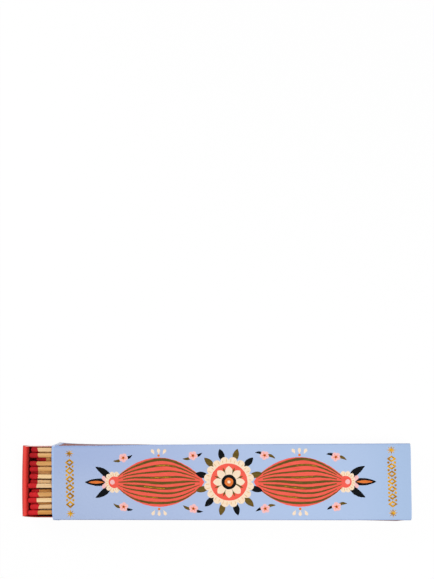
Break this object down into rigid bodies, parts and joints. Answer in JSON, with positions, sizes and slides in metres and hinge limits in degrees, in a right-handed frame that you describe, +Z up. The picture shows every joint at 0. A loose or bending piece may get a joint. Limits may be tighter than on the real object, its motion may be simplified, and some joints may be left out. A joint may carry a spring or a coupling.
{
  "type": "matchbox",
  "caption": "Long flat matchbox: an open-ended folded card sleeve with striking strips on both sides, and a sliding card tray of long wooden matches.",
  "frame": {"origin": "middle of the sleeve's underside, on the surface it lies on", "axes": "+X along the box, away from the drawn end of the tray; +Y across it; +Z up"},
  "size_m": [0.3161, 0.0658, 0.021],
  "materials": {
    "printed_card": "satin",
    "red_card": "matte",
    "match_wood": "matte"
  },
  "bodies": {
    "sleeve": {"sleeve": "printed_card"},
    "tray": {"tray": "red_card", "match_01": "match_wood", "match_02": "match_wood", "match_03": "match_wood", "match_04": "match_wood", "match_05": "match_wood", "match_06": "match_wood", "match_07": "match_wood", "match_08": "match_wood", "match_09": "match_wood", "match_10": "match_wood", "match_11": "match_wood", "match_12": "match_wood", "match_13": "match_wood", "match_14": "match_wood", "match_15": "match_wood", "match_16": "match_wood", "match_17": "match_wood", "match_18": "match_wood", "match_19": "match_wood", "match_20": "match_wood", "match_21": "match_wood", "match_22": "match_wood", "match_23": "match_wood", "match_24": "match_wood", "match_25": "match_wood", "match_26": "match_wood", "match_27": "match_wood", "match_28": "match_wood", "match_29": "match_wood", "match_30": "match_wood", "match_31": "match_wood", "match_32": "match_wood", "match_33": "match_wood", "match_34": "match_wood", "match_35": "match_wood", "match_36": "match_wood", "match_37": "match_wood", "match_38": "match_wood", "match_39": "match_wood", "match_40": "match_wood", "match_41": "match_wood", "match_42": "match_wood", "match_43": "match_wood"}
  },
  "joints": [
    {"name": "tray_slide", "type": "slide", "parent": "sleeve", "child": "tray", "axis": [1, 0, 0], "range_m": [-0.2586, 0.3103]}
  ]
}
